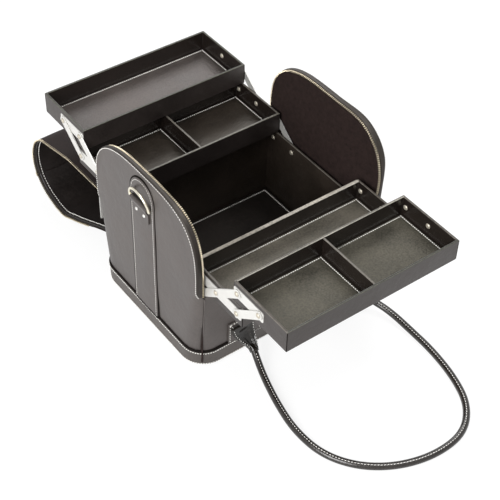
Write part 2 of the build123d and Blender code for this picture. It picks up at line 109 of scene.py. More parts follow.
def spline_points(route):
    """Points of the smooth NURBS line that has the route's points as its control points."""
    data = bpy.data.curves.new("guide", "CURVE")
    data.dimensions = "3D"
    data.resolution_u = 12
    spline = data.splines.new("NURBS")
    spline.points.add(len(route) - 1)
    for point, place in zip(spline.points, route):
        point.co = (*place, 1)
    spline.order_u = 3
    spline.use_endpoint_u = True
    guide = bpy.data.objects.new("guide", data)
    mesh = bpy.data.meshes.new_from_object(guide)
    line = [v.co.copy() for v in mesh.vertices]
    bpy.data.objects.remove(guide)
    bpy.data.curves.remove(data)
    bpy.data.meshes.remove(mesh)
    return line


def grid_faces(rows, columns, closed_rows=False, closed_columns=False):
    """Quads of a grid whose vertices are numbered row by row."""
    faces = []
    for i in range(rows if closed_rows else rows - 1):
        for j in range(columns if closed_columns else columns - 1):
            a = i * columns + j
            b = i * columns + (j + 1) % columns
            c = ((i + 1) % rows) * columns + (j + 1) % columns
            d = ((i + 1) % rows) * columns + j
            faces.append((a, b, c, d))
    return faces


def grid_rim(rows, columns):
    """Vertices round the edge of such a grid."""
    rim = list(range(columns)) + [k * columns + columns - 1 for k in range(1, rows)]
    rim += [(rows - 1) * columns + j for j in range(columns - 2, -1, -1)]
    return rim + [k * columns for k in range(rows - 2, 0, -1)]


def end_caps(rows, columns):
    """Faces that close the first and the last row of a grid of closed rows."""
    last = (rows - 1) * columns
    return [tuple(range(columns))[::-1], tuple(last + k for k in range(columns))]


def tube(points, radius, sides, closed=False):
    """Verts and faces of a round tube along points."""
    count = len(points)
    verts = []
    guide = Vector((0, 0, 1))
    for i, point in enumerate(points):
        before = points[i - 1] if (i or closed) else points[0]
        after = points[(i + 1) % count] if (closed or i < count - 1) else points[-1]
        along = (Vector(after) - Vector(before)).normalized()
        side = along.cross(guide)
        if side.length < 0.2:
            side = along.cross(Vector((1, 0, 0)))
        side.normalize()
        guide = side.cross(along).normalized()
        for k in range(sides):
            angle = 2 * pi * k / sides
            spoke = side * cos(angle) + guide * sin(angle)
            verts.append(Vector(point) + spoke * radius)
    faces = grid_faces(count, sides, closed, True)
    if not closed:
        faces += end_caps(count, sides)
    return verts, faces


def corner_at(z):
    """Corner radius of the body's plan at a height, up to the top of the walls."""
    return FOOT_CORNER - CORNER_LOSS * z / WALL_TOP


handle_line = spline_points(HANDLE_ROUTE)
handle = mesh_object("rolled_handle", *tube(handle_line, HANDLE_DIAMETER / 2, 24))
handle.data.shade_smooth()
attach(handle, "handle")
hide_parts("front_handle")

# Materials


def fill(node, inputs):
    """Set a node's inputs, and link those for which an output is given."""
    for key, value in inputs.items():
        if isinstance(value, bpy.types.NodeSocket):
            node.id_data.links.new(value, node.inputs[key])
        else:
            node.inputs[key].default_value = value


def adder(tree):
    """Function that adds a node to a tree and gives its outputs."""
    def add(kind, inputs=(), **settings):
        node = tree.nodes.new("ShaderNode" + kind)
        for key, value in settings.items():
            setattr(node, key, value)
        fill(node, dict(inputs))
        return node.outputs
    return add


def blank(name):
    """New material with its principled shader and a function that adds nodes to it."""
    mat = bpy.data.materials.new(name)
    mat.use_nodes = True
    return mat, mat.node_tree.nodes["Principled BSDF"], adder(mat.node_tree)


def calculate(add, kind, *values):
    """Result of one calculation."""
    return add("Math", dict(enumerate(values)), operation=kind)[0]


def stretch(add, value, old=(0, 1), new=(0, 1)):
    """A value of an old range moved to a new one."""
    ends = {"From Min": old[0], "From Max": old[1], "To Min": new[0], "To Max": new[1]}
    return add("MapRange", {"Value": value, **ends})[0]


def shade(add, tone, low, high, factor):
    """Colour between a darker and a lighter shade of a tone, by a factor."""
    dark = (*(c * low for c in tone), 1)
    light = (*(min(c * high, 1) for c in tone), 1)
    return add("Mix", {0: factor, 6: dark, 7: light}, data_type="RGBA")[2]


def clouds(add, place, scale, detail, rough=0.5):
    """Cloudy pattern."""
    sizes = {"Scale": scale, "Detail": detail, "Roughness": rough}
    return add("TexNoise", {"Vector": place, **sizes})["Fac"]


def relief(add, height, strength, distance, **below):
    """Bumps of a pattern, on top of those below."""
    sizes = {"Strength": strength, "Distance": distance}
    return add("Bump", {"Height": height, **sizes, **below})[0]


def leather(name, tone, rough, grain=900, depth=0.25, mottle=0.45, spec=1.0, coat=0.0,
            tint=(1, 1, 1), uneven=0.08):
    """Grained leather: pebbled bumps, cloudy tone and uneven gloss."""
    mat, shader, add = blank(name)
    place = add("TexCoord")["Object"]
    cloud = clouds(add, place, 16.0, 5.0, 0.6)
    fine = clouds(add, place, 420.0, 3.0)
    cells = add("TexVoronoi", {"Vector": place, "Scale": grain, "Randomness": 1.0})
    halved = calculate(add, "MULTIPLY", calculate(add, "ADD", cloud, fine), 0.5)
    strong = stretch(add, halved, old=(0.36, 0.64))
    pebbles = relief(add, cells["Distance"], depth, 0.00025)
    waves = relief(add, cloud, 0.30, 0.005, Normal=pebbles)
    creases = relief(add, clouds(add, place, 75.0, 6.0, 0.65), 0.30, 0.0012, Normal=waves)
    fill(shader, {
        "Base Color": shade(add, tone, 1 - mottle, 1 + mottle, strong),
        "Roughness": stretch(add, strong, new=(rough - uneven, rough + uneven)),
        "Normal": creases,
        "Specular IOR Level": spec,
        "Specular Tint": (*tint, 1),
        "Coat Weight": coat,
        "Coat Roughness": 0.25,
    })
    return mat


def cloth(name, tone, pitch, sheen=0.0, axes="XYZ", spec=0.5):
    """Woven cloth: crossing thread waves along the axes that the cloth spans."""
    mat, shader, add = blank(name)
    place = add("TexCoord")["Object"]
    waves = {"Vector": place, "Scale": 0.314 / pitch, "Distortion": 0.2, "Detail": 1.0}
    weave = None
    for axis in axes:
        band = add("TexWave", waves, bands_direction=axis)["Fac"]
        weave = calculate(add, "ADD", weave, band) if weave else band
    woven = calculate(add, "MULTIPLY", weave, 1 / len(axes))
    uneven = calculate(add, "MULTIPLY", woven, clouds(add, place, 160.0, 6.0, 0.8))
    clear = stretch(add, uneven, old=(0.12, 0.42))
    fill(shader, {
        "Base Color": shade(add, tone, 0.35, 2.3, clear),
        "Normal": relief(add, woven, 0.5, 0.0002),
        "Roughness": 0.85,
        "Sheen Weight": sheen,
        "Specular IOR Level": spec,
    })
    return mat


def metal(name, tone, rough, scratch=0.15, shine=1.0):
    """Polished metal with hairline scratches and a little tarnish."""
    mat, shader, add = blank(name)
    place = add("TexCoord")["Object"]
    drawn = add("Mapping", {"Vector": place, "Scale": (40.0, 900.0, 900.0)})[0]
    cloud = clouds(add, place, 130.0, 4.0)
    fill(shader, {
        "Base Color": shade(add, tone, 0.88, 1, cloud),
        "Roughness": stretch(add, cloud, new=(rough * 0.7, rough * 1.4)),
        "Normal": relief(add, clouds(add, drawn, 1.0, 3.0), scratch, 0.00008),
        "Metallic": shine,
    })
    return mat


def thread(name, tone, spec=0.5):
    """Twisted sewing thread."""
    mat, shader, add = blank(name)
    twist = clouds(add, add("TexCoord")["Object"], 2600.0, 2.0)
    fill(shader, {
        "Base Color": shade(add, tone, 0.75, 1, twist),
        "Normal": relief(add, twist, 0.4, 0.0001),
        "Roughness": 0.7,
        "Specular IOR Level": spec,
    })
    return mat


OUTER = leather("outer_leather", (0.036, 0.031, 0.028), 0.42, tint=(1, 0.90, 0.87))
EDGE = leather("edge_leather", (0.014, 0.011, 0.009), 0.5, spec=0.45, tint=(1, 0.92, 0.86))
# Darker copy of the outer leather for the cover's leather side, which faces into its curl: painted
# shade
COVER_SKIN_PAINTED_SHADE = leather("cover_skin_painted_shade", (0.010, 0.007, 0.006), 0.5, spec=0.5)
BAND = leather("band_leather", (0.034, 0.028, 0.024), 0.42, spec=0.9, tint=(1, 0.91, 0.86))
TRAY = leather("tray_skin", (0.016, 0.0125, 0.0115), 0.40, grain=1300, depth=0.12,
               spec=0.66, tint=(1, 0.92, 0.88))
TRAY_INSIDE = leather("tray_inside", (0.012, 0.0085, 0.007), 0.24, grain=1300, depth=0.08,
                      spec=0.6, mottle=0.25, uneven=0.02)
# Lighter copy of the trays' inner leather for the inner box: painted light in the deep box
BOX_INSIDE_PAINTED_LIGHT = leather("box_inside_painted_light", (0.029, 0.022, 0.017), 0.36, grain=1300, depth=0.15,
                     spec=0.4)
PAD = leather("floor_pad", (0.043, 0.039, 0.030), 0.5, grain=1100, depth=0.4, spec=0.5,
              mottle=0.75, tint=(1, 0.95, 0.80))
PAD_LIGHT = leather("light_pad", (0.062, 0.055, 0.044), 0.46, grain=1100, depth=0.4,
                    spec=0.6, mottle=0.6, tint=(1, 0.95, 0.82))
PAD_GREY = leather("grey_pad", (0.050, 0.041, 0.037), 0.46, grain=1100, depth=0.4,
                   spec=0.6, mottle=0.6, tint=(1, 0.93, 0.90))
# Darker copy of the pad leather for the lower back tray: painted shade under the upper back tray
PAD_PAINTED_SHADE = leather("painted_shade_pad", (0.015, 0.011, 0.008), 0.4, grain=1100, depth=0.25,
                   spec=0.75, tint=(1, 0.92, 0.82))
# Much darker copy of the pad leather for the inner box's floor: painted shade
BOX_PAD_PAINTED_SHADE = leather("box_pad", (0.010, 0.0075, 0.006), 0.5, grain=1100, depth=0.2, spec=0.25)
ROLLED = leather("rolled_leather", (0.014, 0.011, 0.009), 0.26, grain=1500, depth=0.1,
                 spec=0.55, coat=0.12)
ROLLED_END = leather("puckered_leather", (0.012, 0.010, 0.008), 0.17, grain=1500,
                     depth=0.15, spec=0.55, uneven=0.05)
LINING = cloth("lining", (0.012, 0.0062, 0.0054), 0.0009, axes="X", spec=0.4)
END_LINING = cloth("end_lining", (0.0165, 0.0100, 0.0088), 0.0011, axes="YZ", spec=0.15)
TAPE = cloth("zip_tape", (0.014, 0.011, 0.009), 0.0005, sheen=0.05)
BRASS = metal("pale_brass", (0.62, 0.54, 0.40), 0.36)
RIVET = metal("rivet_head", (0.50, 0.46, 0.38), 0.42, shine=0.45)
RING = metal("pale_gold", (0.88, 0.83, 0.68), 0.18, scratch=0.05)
NICKEL = metal("bright_nickel", (0.68, 0.67, 0.64), 0.36, shine=0.45)
THREAD = thread("white_thread", (0.92, 0.90, 0.85))
# Dark for seam joints, and for tubes that paint shadow lines beside seams, under the band's top and
# along the straps
DARK_SEAM_AND_PAINTED_SHADE = thread("dark_seam_and_painted_shade", (0.010, 0.008, 0.007), spec=0.05)
BOARD = leather("edge_board", (0.05, 0.04, 0.035), 0.8, grain=300, depth=0.1)


def painted_highlight_rim_pair(name, flat, edge):
    """Materials of a tray's rim, its flat top and its two edges, in pale tones that paint the
    highlights of rounded leather edges.
    """
    return (leather(name + "_flat", flat, 0.4, grain=1600, depth=0.08, spec=0.4),
            leather(name + "_edge", edge, 0.35, grain=1600, depth=0.05, spec=0.4))


# Painted highlights: the rims are dark leather, and these pale tones, the welt's palest, stand in
# for the light on their edges
RIM_FAINT_PAINTED_HIGHLIGHT = painted_highlight_rim_pair("rim_faint_painted_highlight", (0.020, 0.019, 0.014), (0.075, 0.074, 0.056))
RIM_MID_PAINTED_HIGHLIGHT = painted_highlight_rim_pair("rim_mid_painted_highlight", (0.11, 0.10, 0.085), (0.20, 0.19, 0.16))
RIM_STRONG_PAINTED_HIGHLIGHT = painted_highlight_rim_pair("rim_strong_painted_highlight", (0.10, 0.09, 0.075), (0.38, 0.36, 0.31))
WELT = painted_highlight_rim_pair("rim_welt", (0.30, 0.275, 0.235), (0.44, 0.41, 0.36))
PLAIN = painted_highlight_rim_pair("plain_rim", (0.06, 0.05, 0.042), (0.11, 0.10, 0.085))
# Rims of a tray's front, right, back and left walls; how pale each rim is paints the highlight that
# light gives it on that wall
RIMS = {
    "back_upper": (RIM_FAINT_PAINTED_HIGHLIGHT, RIM_FAINT_PAINTED_HIGHLIGHT, RIM_FAINT_PAINTED_HIGHLIGHT, RIM_FAINT_PAINTED_HIGHLIGHT),
    "back_lower": (RIM_MID_PAINTED_HIGHLIGHT, PLAIN, RIM_MID_PAINTED_HIGHLIGHT, PLAIN),
    "front_lower": (WELT, PLAIN, WELT, PLAIN),
    "front_upper": (RIM_FAINT_PAINTED_HIGHLIGHT, PLAIN, RIM_STRONG_PAINTED_HIGHLIGHT, PLAIN),
    "inner_box": (PLAIN, PLAIN, PLAIN, PLAIN),
}

handle.data.materials.append(ROLLED)

# Mesh helpers


def mesh_piece(name, verts, faces, body, mats, face_mats=None, smooth=True, replaces=(),
               turned=False):
    """A mesh object with its materials, its body and the CAD nodes that it stands for."""
    if turned:
        faces = [face[::-1] for face in faces]
    piece = mesh_object(name, verts, faces)
    if face_mats:
        piece.data.polygons.foreach_set("material_index", face_mats)
    for mat in mats:
        piece.data.materials.append(mat)
    if smooth:
        piece.data.shade_smooth()
    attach(piece, body)
    if replaces:
        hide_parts(*replaces)
    return piece


def tube_piece(name, line, radius, sides=8, body="case", mat=DARK_SEAM_AND_PAINTED_SHADE,
               closed=False):
    """A round tube as a piece of its own, by default dark: a dark seam joint, or painted shade
    along a seam, the band or a strap.
    """
    verts, faces = tube(line, radius, sides, closed)
    return mesh_piece(name, verts, faces, body, [mat])


def modify(piece, kind, **settings):
    """Add a modifier and apply it at once."""
    mod = piece.modifiers.new(kind.lower(), kind)
    for key, value in settings.items():
        setattr(mod, key, value)
    depsgraph = bpy.context.evaluated_depsgraph_get()
    fresh = bpy.data.meshes.new_from_object(piece.evaluated_get(depsgraph))
    piece.modifiers.clear()
    piece.data = fresh


def thicken(sheet, thickness):
    """Join a sheet's doubled points and give it its thickness."""
    modify(sheet, "WELD", merge_threshold=0.00005)
    modify(sheet, "SOLIDIFY", thickness=thickness, offset=-1)
    sheet.data.shade_smooth()


def soften(piece, width, angle_limit):
    """Round a piece's sharp edges and shade its flat faces flat."""
    modify(piece, "BEVEL", width=width, segments=3, limit_method="ANGLE", angle_limit=angle_limit)
    piece.data.shade_smooth()
    modify(piece, "WEIGHTED_NORMAL", keep_sharp=False, weight=80)


def walk(points, distances):
    """Places and directions on a polyline at distances, which a function gives for its length."""
    lengths = [(b - a).length for a, b in zip(points, points[1:])]
    spots = []
    index, walked = 0, 0.0
    for target in distances(sum(lengths)):
        while index < len(lengths) - 1 and walked + lengths[index] < target:
            walked += lengths[index]
            index += 1
        share = (target - walked) / max(lengths[index], 1e-9)
        spots.append((points[index].lerp(points[index + 1], share),
                      (points[index + 1] - points[index]).normalized()))
    return spots


def resample(points, step, closed=False):
    """Places and directions at even steps along a polyline."""
    def distances(total):
        count = max(int(total / step), 1)
        return [(k + 0.5) * total / count for k in range(count)]

    return walk([*points, points[0]] if closed else points, distances)


def even(pairs, count):
    """A flat polyline through evenly spaced points of another, ends kept."""
    points = [Vector((y, z, 0)) for y, z in pairs]
    inner = walk(points, lambda total: [total * k / (count - 1) for k in range(1, count - 1)])
    return [points[0], *(spot for spot, _ in inner), points[-1]]


def with_inward(line):
    """Points of a line in the YZ plane with the direction to its inner side."""
    frames = []
    for k, point in enumerate(line):
        tangent = (line[min(k + 1, len(line) - 1)] - line[max(k - 1, 0)]).normalized()
        frames.append((point, Vector((tangent.y, -tangent.x, 0))))
    return frames


# Each ring of a stitch: its place along the stitch, its thickness and its lift
STITCH_RINGS = ((-0.5, 0.35, -0.35), (-0.28, 1.0, 0.55), (0.28, 1.0, 0.55), (0.5, 0.35, -0.35))
STITCH_SIDES = 6
STITCH_SLANT = 0.10


def stitches(name, lines, facing, body, closed=False, length=0.0026, radius=0.00050,
             pitch=STITCH_PITCH):
    """Rows of raised stitches that face a direction, or the one that a function gives."""
    verts, faces = [], []
    own_faces = grid_faces(len(STITCH_RINGS), STITCH_SIDES, False, True)
    own_faces += end_caps(len(STITCH_RINGS), STITCH_SIDES)
    for line in lines:
        for spot, along in resample(line, pitch, closed):
            up = Vector(facing(spot) if callable(facing) else facing).normalized()
            up = (up - along * up.dot(along)).normalized()
            along = (Matrix.Rotation(STITCH_SLANT, 3, up) @ along).normalized()
            side = up.cross(along)
            start = len(verts)
            for share, fat, lift in STITCH_RINGS:
                centre = spot + along * share * length + up * lift * radius
                for k in range(STITCH_SIDES):
                    angle = 2 * pi * k / STITCH_SIDES
                    spoke = side * cos(angle) + up * sin(angle)
                    verts.append(centre + spoke * radius * fat)
            faces += [tuple(start + v for v in face) for face in own_faces]
    mesh_piece(name, verts, faces, body, [THREAD])


# Arched ends

# Steps along the arch and along each straight side under it
ARCH_STEPS = 96
SIDE_STEPS = 12
# Points of the outline for an end's sheets, and for the stitches along its edge
OUTLINE_POINTS = 161
EDGE_POINTS = 300
# How far inside the outline the stitched seam of an end runs
SEAM_INSET = 0.00197
# Foot of an end's leather, and the top of the middle line that its rows run to
SKIN_FOOT = 0.0225
MIDDLE_TOP = 0.190
# Columns of an end's leather up to the seam and up to its face, and steps over the face
SEAM_COLUMN = 8
FACE_COLUMN = 11
FACE_STEPS = 14
# Seam between a wall and an end, and the dark tube beside it that paints the seam's shadow
SEAM_RADIUS = 0.0010
SEAM_SHADOW_RADIUS = 0.0004
LINING_FOOT = 0.008
LINING_INSET = 0.0024
LEATHER_THICK = 0.0014
LINING_THICK = 0.0008
# How far the padded ends swell, and how far from their edge the swelling is whole
SWELL = 0.0010
SWELL_REACH = 0.045
# How much less an end's edge is rounded over the walls, from this height up
ROUNDING_LOSS = 0.007
ROUNDING_TOP = 0.137


def arch_points(inset, foot):
    """The end's outline in the YZ plane, from the front foot over the top to the back foot."""
    half = HALF_DEPTH - inset
    rise = RISE - inset
    points = [(-half, foot)]
    for k in range(1, SIDE_STEPS):
        points.append((-half, foot + (SPRING - foot) * k / SIDE_STEPS))
    for k in range(ARCH_STEPS + 1):
        angle = pi * k / ARCH_STEPS
        c = cos(angle)
        across = copysign(abs(c) ** (2 / POWER), c)
        up = max(sin(angle), 0) ** (2 / POWER)
        points.append((-half * across, SPRING + rise * up))
    for k in range(1, SIDE_STEPS):
        points.append((half, SPRING + (foot - SPRING) * k / SIDE_STEPS))
    points.append((half, foot))
    return points


def smooth(low, high, value):
    """Smooth step from 0 to 1."""
    t = min(max((value - low) / (high - low), 0), 1)
    return t * t * (3 - 2 * t)


def crown(d, z):
    """How far the padded end swells at a distance from its edge."""
    share = 1 - (1 - min(d / SWELL_REACH, 1)) ** 2
    return SWELL * share * smooth(0.030, 0.080, z)


def bow(side, y, z, face=0):
    """How far the soft top of an end stands out: at its zip (face 0) or its outer face (face 1)."""
    if side > 0:
        rim = 0.0042 * smooth(0.02, 0.07, -y) * smooth(0.126, 0.175, z)
        swell = 0.0065 * smooth(0.015, 0.07, -y) * smooth(0.160, 0.205, z)
        return rim + (swell - rim) * face
    return 0.0035 * smooth(-0.09, -0.03, y) * smooth(0.150, 0.215, z) * (1 - face)


def seam_turn(r):
    """Angle round the end's outer edge at which its stitched seam runs."""
    return acos(1 - SEAM_INSET / r)


def corner_radius(z):
    """Radius of an end's outer edge at a height, less above the walls than along them."""
    return corner_at(min(z, WALL_TOP)) - ROUNDING_LOSS * smooth(WALL_TOP, ROUNDING_TOP, z)


def outline_frames(foot, count=OUTLINE_POINTS):
    """Points of the end's outline with the direction inwards, in the YZ plane."""
    return with_inward(even(arch_points(0, foot), count))


def end_skin(side, name, node):
    """Leather of an arched end: gusset strip, rounded edge and padded face in one sheet."""
    rows = []
    for count, (point, inward) in enumerate(outline_frames(SKIN_FOOT)):
        z = point.y
        r = corner_radius(z)
        strip = SEAM_X + (GUSSET_X - SEAM_X) * smooth(0.1225, ZIP_FOOT, z)
        flat = max(HALF_LENGTH - r - strip, 0)
        turn = asin(max(strip - HALF_LENGTH + r, 0) / r)
        share = abs(count / (OUTLINE_POINTS // 2) - 1)
        axis = Vector((0, SKIN_FOOT + (MIDDLE_TOP - SKIN_FOOT) * (1 - share) ** 0.8, 0))
        row = []
        # From the inner edge of the gusset strip to the seam, then round to the face
        seam_at = flat + r * max(seam_turn(r) - turn, 0)
        face_at = flat + r * (pi / 2 - turn)
        for k in range(FACE_COLUMN + 1):
            gone = seam_at * k / SEAM_COLUMN
            if k > SEAM_COLUMN:
                past = (k - SEAM_COLUMN) / (FACE_COLUMN - SEAM_COLUMN)
                gone = seam_at + (face_at - seam_at) * past
            angle = turn + max(gone - flat, 0) / r
            x = strip + gone if gone < flat else HALF_LENGTH - r + r * sin(angle)
            p = point + inward * (r * (1 - cos(angle)))
            row.append((x + bow(side, p.x, p.y, k / FACE_COLUMN), p.x, p.y))
        # Over the face towards its middle line
        start = point + inward * r
        reach = (axis - start).length
        for k in range(1, FACE_STEPS + 1):
            p = start.lerp(axis, k / FACE_STEPS)
            d = reach * k / FACE_STEPS
            ripple = noise.noise(Vector((p.x * 14, p.y * 14, side * 3.0))) * 0.00045
            x = HALF_LENGTH + crown(d, p.y) + ripple * smooth(0, 0.02, d)
            row.append((x + bow(side, p.x, p.y, 1), p.x, p.y))
        rows.append(row)
    columns = len(rows[0])
    verts = [(side * x, y, z) for row in rows for x, y, z in row]
    faces = grid_faces(len(rows), columns)
    kinds = [1 if f[0] % columns < SEAM_COLUMN and verts[f[0]][2] > ZIP_FOOT - 0.001 else 0
             for f in faces]
    skin = mesh_piece(name, verts, faces, "case", [OUTER, EDGE], face_mats=kinds, turned=side < 0,
                      replaces=[node, "end_gussets", "end_cores"])
    thicken(skin, LEATHER_THICK)


def end_lining(side, name):
    """Woven lining of an arched end, a little wavy, from the case's floor to the zip."""
    rows = 61
    columns = 41
    top = SPRING + RISE - LINING_INSET
    verts = []
    for j in range(rows):
        z = LINING_FOOT + (top - 0.0002 - LINING_FOOT) * sin(pi / 2 * j / (rows - 1))
        up = max(z - SPRING, 0) / (RISE - LINING_INSET)
        half = (HALF_DEPTH - LINING_INSET) * max(1 - up ** POWER, 0) ** (1 / POWER)
        for i in range(columns):
            y = half * sin(pi * (i / (columns - 1) - 0.5))
            edge = min(half - abs(y), top - z)
            wave = noise.noise(Vector((y * 26, z * 9, side * 2.0))) * 0.0012 + 0.0006
            wave += noise.noise(Vector((y * 70, z * 20, side * 5.0))) * 0.0003
            soft = smooth(0.0, 0.012, edge) * smooth(0.165, 0.190, z)
            verts.append((side * (LINING_X + bow(side, y, z) + wave * soft), y, z))
    sheet = mesh_piece(name, verts, grid_faces(rows, columns), "case", [END_LINING],
                       replaces=["end_linings"], turned=side > 0)
    thicken(sheet, LINING_THICK)


def zip_tape(side, name):
    """Woven tape under the teeth of an arched end."""
    verts = []
    frames = outline_frames(ZIP_FOOT)
    near, far = LINING_X + 0.0004, LINING_X + 0.0045
    for point, inward in frames:
        for x, d in ((near, 0.0016), (far, 0.0016), (far, 0.0023), (near, 0.0023)):
            p = point + inward * d
            verts.append((side * (x + bow(side, p.x, p.y)), p.x, p.y))
    faces = grid_faces(len(frames), 4, False, True)
    mesh_piece(name, verts, faces, "case", [TAPE], replaces=["end_zip_tapes"])


HANDS = ((-1, "left"), (1, "right"))
for side, hand in HANDS:
    end_skin(side, f"{hand}_end_skin", f"{hand}_end_panel")
    end_lining(side, f"{hand}_end_lining")
    zip_tape(side, f"{hand}_end_tape")


def arch_normal(spot):
    """Outward direction of the arch at a point."""
    y = spot.y / HALF_DEPTH
    z = max(spot.z - SPRING, 0) / RISE
    return (0, copysign(abs(y) ** (POWER - 1), y) / HALF_DEPTH, z ** (POWER - 1) / RISE)


for side, hand in HANDS:
    run, lean = [], {}
    for point, inward in outline_frames(ZIP_FOOT + 0.001, EDGE_POINTS):
        r = corner_radius(point.y)
        turn = seam_turn(r)
        p = point + inward * r * (1 - cos(turn))
        x = HALF_LENGTH - r + r * sin(turn) + bow(side, p.x, p.y, SEAM_COLUMN / FACE_COLUMN)
        spot = Vector((side * x, p.x, p.y))
        down = -cos(turn)
        lean[spot.freeze()] = (side * sin(turn), inward.x * down, inward.y * down)
        run.append(spot)

    def edge_facing(spot, places=lean):
        """Outward direction of the rounded edge nearest to a place."""
        return places[min(places, key=lambda q: (q - spot).length_squared)]

    stitches(f"{hand}_end_stitches", [run], edge_facing, "case", length=0.0020, pitch=0.0034)
    seam = []
    for step in range(23, 125, 3):
        z = step / 1000
        r = corner_at(z)
        across = max(SEAM_X - HALF_LENGTH + r, 0)
        y = r - HALF_DEPTH - sqrt(r * r - across * across)
        seam.append(Vector((side * SEAM_X, y, z)))
    back_seam = [Vector((p.x, -p.y, p.z)) for p in seam]
    for edge, line in (("front", seam), ("back", back_seam)):
        tube_piece(f"{hand}_{edge}_seam", line, SEAM_RADIUS, mat=OUTER)
        # A dark tube beside the raised seam: painted shadow
        gap = [p + Vector((side * SEAM_RADIUS, copysign(SEAM_SHADOW_RADIUS, -p.y), 0)) for p in line]
        tube_piece(f"{hand}_{edge}_seam_painted_shadow", gap, SEAM_SHADOW_RADIUS, sides=6)

# Zips

# A tooth's reach, its length along the row, its thickness and its bevel
TOOTH_SIZE = (0.0030, 0.0012, 0.0021)
TOOTH_BEVEL = 0.00035
TOOTH_PITCH = 0.0027
# Middle of an end's row of teeth: outwards from its inner side, and inside the outline
TEETH_OUT = 0.0013
TEETH_INSET = 0.0014


def tooth_shape():
    """One rounded zip tooth: X reach, Y along the row, Z thickness, centred."""
    shape = bmesh.new()
    bmesh.ops.create_cube(shape, size=1.0)
    for vert in shape.verts:
        vert.co = Vector(c * size for c, size in zip(vert.co, TOOTH_SIZE))
    bmesh.ops.bevel(shape, geom=shape.edges[:], offset=TOOTH_BEVEL, segments=1, affect="EDGES")
    shape.verts.ensure_lookup_table()
    verts = [v.co.copy() for v in shape.verts]
    faces = [tuple(v.index for v in f.verts) for f in shape.faces]
    shape.free()
    return verts, faces


TOOTH = tooth_shape()


def zip_teeth(name, path, reach, normal, body, replaces):
    """A row of metal teeth along a path."""
    verts, faces = [], []
    for spot, along in resample(path, TOOTH_PITCH):
        up = Vector(normal(spot))
        up = (up - along * up.dot(along)).normalized()
        across = along.cross(up)
        across = across.normalized() * (1 if across.dot(Vector(reach)) > 0 else -1)
        start = len(verts)
        for v in TOOTH[0]:
            verts.append(spot + across * v.x + along * v.y + up * v.z)
        faces += [tuple(start + i for i in f) for f in TOOTH[1]]
    mesh_piece(name, verts, faces, body, [BRASS], smooth=False, replaces=replaces)


for side, hand in HANDS:
    row = [Vector((side * (TEETH_X + TEETH_OUT + bow(side, y, z)), y, z))
           for y, z in arch_points(TEETH_INSET, ZIP_FOOT)]
    zip_teeth(f"{hand}_end_teeth", row, (-side, 0, 0), arch_normal, "case", ["end_zip_teeth"])

# Base band


def rounded_plan(half_x, half_y, radius, steps=10):
    """Plan outline of a rounded rectangle."""
    points = []
    for sx, sy, start in ((1, 1, 0), (-1, 1, 90), (-1, -1, 180), (1, -1, 270)):
        for k in range(steps + 1):
            angle = radians(start + 90 * k / steps)
            points.append((sx * (half_x - radius) + radius * cos(angle),
                           sy * (half_y - radius) + radius * sin(angle)))
    return points


def plan_normal(spot):
    """Outward direction of the case's plan."""
    r = corner_at(0.02)
    x = max(abs(spot.x) - (HALF_LENGTH - r), 0) * (1 if spot.x > 0 else -1)
    y = max(abs(spot.y) - (HALF_DEPTH - r), 0) * (1 if spot.y > 0 else -1)
    return (x, y, 0)


def band_row(out, z):
    """Line round the foot of the case, a distance outside the walls."""
    plan = rounded_plan(HALF_LENGTH + out, HALF_DEPTH + out, corner_at(z) + out)
    return [Vector((x, y, z)) for x, y in plan]


upper, lower = band_row(BAND_OUT + 0.0001, 0.0232), band_row(BAND_OUT + 0.0002, 0.0038)
stitches("band_stitches", [upper, lower], plan_normal, "case", closed=True, radius=0.0006,
         length=0.0024, pitch=0.0032)
# Dark tube just above the band's top edge: painted shadow that the band's edge throws
tube_piece("band_painted_shadow", band_row(-0.0003, BAND_TOP + 0.0016), 0.0021, closed=True)

# Trays

# Walls and floors of the trays and the inner box, and how far their rims' corners are cut
TRAY_WALL = 0.003
TRAY_FLOOR = 0.0025
BOX_FLOOR = 0.003
RIM_CUT = 0.0007
# Gap between a pad and the partition
PAD_GAP = 0.0003
# Points along and across a pad, the swelling of its middle and the depth of its stitched groove
PAD_COLUMNS = 40
PAD_ROWS = 22
PAD_CROWN = 0.0007
PAD_GROOVE = 0.00035


def corners_at(low, high, inset, z):
    """Corners of a box's plan, moved inwards, at a height."""
    x0, y0, x1, y1 = low.x + inset, low.y + inset, high.x - inset, high.y - inset
    return [Vector((x0, y0, z)), Vector((x1, y0, z)), Vector((x1, y1, z)), Vector((x0, y1, z))]


def tray_shell(name, body, node, floor, rims, inside):
    """Open tray of leather-covered board with softened corners, and a rim in pale tones that paint
    its highlights.
    """
    low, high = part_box(node)
    z0, z1 = low.z, high.z
    verts = []
    for inset, z in ((0, z0), (0, z1 - RIM_CUT), (RIM_CUT, z1), (TRAY_WALL - RIM_CUT, z1),
                     (TRAY_WALL, z1 - RIM_CUT), (TRAY_WALL, z0 + floor)):
        verts += corners_at(low, high, inset, z)
    faces, kinds = [(3, 2, 1, 0)], [0]
    # The rim's top and its cut edges take the rim materials: painted highlights
    for level in range(5):
        for k in range(4):
            m = (k + 1) % 4
            faces.append((4 * level + k, 4 * level + m, 4 * level + 4 + m, 4 * level + 4 + k))
            kinds.append((0, 3 + 2 * k, 2 + 2 * k, 3 + 2 * k, 1)[level])
    faces.append((20, 21, 22, 23))
    kinds.append(1)
    mats = [TRAY, inside] + [mat for pair in rims for mat in pair]
    piece = mesh_piece(name, verts, faces, body, mats, face_mats=kinds, smooth=False,
                       replaces=[node])
    soften(piece, 0.0006, 0.95)
    for k, (x, y, _) in enumerate(verts[:4]):
        inward = Vector((-x, low.y + high.y - 2 * y, 0)).normalized() * 0.0006
        seam = [Vector((x, y, z)) + inward for z in (z0 + 0.001, (z0 + z1) / 2, z1 - 0.0012)]
        tube_piece(f"{name}_corner_{k}", seam, 0.0006, 6, body)


